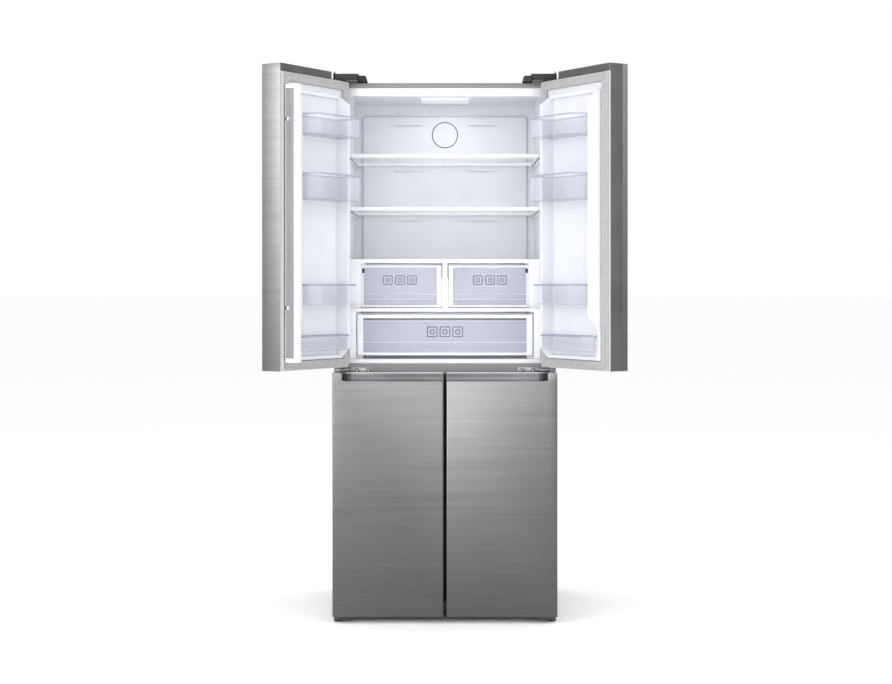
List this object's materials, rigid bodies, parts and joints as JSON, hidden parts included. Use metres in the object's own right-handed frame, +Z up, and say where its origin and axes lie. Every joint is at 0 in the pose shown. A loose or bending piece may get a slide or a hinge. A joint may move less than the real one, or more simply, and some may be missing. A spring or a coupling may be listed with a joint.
{
  "type": "french door refrigerator",
  "caption": "Tall free-standing refrigerator with hinged upper doors over a shelved fresh food space, hinged lower doors over a freezer, sliding drawers and door bins.",
  "frame": {"origin": "on the floor, under the centre of the box of the refrigerator with its upper doors open as drawn; x = 0 is the cabinet's centre line", "axes": "+Z up, -Y out of the front of the refrigerator, +X to the right of a person facing it"},
  "size_m": [1.2392, 1.0297, 1.955],
  "materials": {
    "door_steel": "satin, fine horizontal wavy grain",
    "cabinet_steel": "satin",
    "white_liner": "satin",
    "door_gasket": "matte",
    "dark_plastic": "satin",
    "black_plastic": "satin",
    "zinc_steel": "satin",
    "clear_plastic": "gloss",
    "shelf_glass": "gloss",
    "lamp_lens": "satin",
    "insulation": "matte foam",
    "compressor_black": "satin",
    "evaporator_aluminium": "satin"
  },
  "bodies": {
    "cabinet": {"cabinet_wrapper": "cabinet_steel", "back_panel": "cabinet_steel", "front_frame": "cabinet_steel", "fresh_food_liner": "white_liner", "freezer_liner": "white_liner", "duct_cover": "white_liner", "crisper_frame": "white_liner", "flex_drawer_frame": "white_liner", "compressor_cover": "dark_plastic", "top_hinge_cover_left": "black_plastic", "top_hinge_cover_right": "black_plastic", "top_hinge_left": "zinc_steel", "top_hinge_right": "zinc_steel", "middle_hinge_left": "zinc_steel", "middle_hinge_right": "zinc_steel", "bottom_hinge_left": "zinc_steel", "bottom_hinge_right": "zinc_steel", "base_pan": "zinc_steel", "freezer_drawer_lower_left": "clear_plastic", "freezer_drawer_lower_right": "clear_plastic", "freezer_drawer_upper_left": "clear_plastic", "freezer_drawer_upper_right": "clear_plastic", "shelf_top": "shelf_glass", "shelf_middle": "shelf_glass", "ceiling_lamp": "lamp_lens", "insulation_foam": "insulation", "compressor": "compressor_black", "evaporator": "evaporator_aluminium"},
    "crisper_left": {"crisper_left": "clear_plastic"},
    "crisper_right": {"crisper_right": "clear_plastic"},
    "flex_drawer": {"flex_drawer": "clear_plastic"},
    "mullion": {"mullion_frame": "white_liner", "mullion_plate": "cabinet_steel"},
    "freezer_fan": {"freezer_fan": "dark_plastic"},
    "rear_roller_left": {"rear_roller_left": "black_plastic"},
    "front_foot_left": {"front_foot_left": "black_plastic"},
    "upper_door_left": {"upper_door_left_skin": "door_steel", "upper_door_left_liner": "white_liner", "upper_door_left_gasket": "door_gasket", "upper_door_left_cap": "dark_plastic", "door_bin_left_1": "clear_plastic", "door_bin_left_2": "clear_plastic", "door_bin_left_3": "clear_plastic", "door_bin_left_4": "clear_plastic"},
    "lower_door_left": {"lower_door_left_skin": "door_steel", "lower_door_left_liner": "white_liner", "lower_door_left_gasket": "door_gasket"},
    "rear_roller_right": {"rear_roller_right": "black_plastic"},
    "front_foot_right": {"front_foot_right": "black_plastic"},
    "upper_door_right": {"upper_door_right_skin": "door_steel", "upper_door_right_liner": "white_liner", "upper_door_right_gasket": "door_gasket", "upper_door_right_cap": "dark_plastic", "door_bin_right_1": "clear_plastic", "door_bin_right_2": "clear_plastic", "door_bin_right_3": "clear_plastic", "door_bin_right_4": "clear_plastic"},
    "lower_door_right": {"lower_door_right_skin": "door_steel", "lower_door_right_liner": "white_liner", "lower_door_right_gasket": "door_gasket"}
  },
  "joints": [
    {"name": "upper_door_left_hinge", "type": "hinge", "parent": "cabinet", "child": "upper_door_left", "pos_m": [-0.377, -0.154, 1.4], "axis": [0, 0, -1], "range_deg": [-122.3, 0]},
    {"name": "lower_door_left_hinge", "type": "hinge", "parent": "cabinet", "child": "lower_door_left", "pos_m": [-0.377, -0.154, 0.45], "axis": [0, 0, -1], "range_deg": [0, 120]},
    {"name": "upper_door_right_hinge", "type": "hinge", "parent": "cabinet", "child": "upper_door_right", "pos_m": [0.377, -0.154, 1.4], "axis": [0, 0, 1], "range_deg": [-122.3, 0]},
    {"name": "lower_door_right_hinge", "type": "hinge", "parent": "cabinet", "child": "lower_door_right", "pos_m": [0.377, -0.154, 0.45], "axis": [0, 0, 1], "range_deg": [0, 120]},
    {"name": "mullion_fold", "type": "hinge", "parent": "upper_door_left", "child": "mullion", "pos_m": [-0.52804, -0.48087, 1.404], "axis": [0, 0, 1], "range_deg": [-90, 0]},
    {"name": "crisper_left_slide", "type": "slide", "parent": "cabinet", "child": "crisper_left", "axis": [0, -1, 0], "range_m": [0, 0.3]},
    {"name": "crisper_right_slide", "type": "slide", "parent": "cabinet", "child": "crisper_right", "axis": [0, -1, 0], "range_m": [0, 0.3]},
    {"name": "flex_drawer_slide", "type": "slide", "parent": "cabinet", "child": "flex_drawer", "axis": [0, -1, 0], "range_m": [0, 0.3]},
    {"name": "freezer_fan_spin", "type": "hinge", "parent": "cabinet", "child": "freezer_fan", "pos_m": [0, 0.4, 0.72], "axis": [0, 1, 0], "continuous": true},
    {"name": "rear_roller_left_spin", "type": "hinge", "parent": "cabinet", "child": "rear_roller_left", "pos_m": [-0.33, 0.455, 0.015], "axis": [1, 0, 0], "continuous": true},
    {"name": "front_foot_left_screw", "type": "hinge", "parent": "cabinet", "child": "front_foot_left", "pos_m": [-0.382, -0.141, 0.01], "axis": [0, 0, 1], "continuous": true},
    {"name": "rear_roller_right_spin", "type": "hinge", "parent": "cabinet", "child": "rear_roller_right", "pos_m": [0.33, 0.455, 0.015], "axis": [1, 0, 0], "continuous": true},
    {"name": "front_foot_right_screw", "type": "hinge", "parent": "cabinet", "child": "front_foot_right", "pos_m": [0.382, -0.141, 0.01], "axis": [0, 0, 1], "continuous": true}
  ],
  "couplings": [
    {"joint": "mullion_fold", "follows": "upper_door_left_hinge", "ratio": 0.73589}
  ]
}
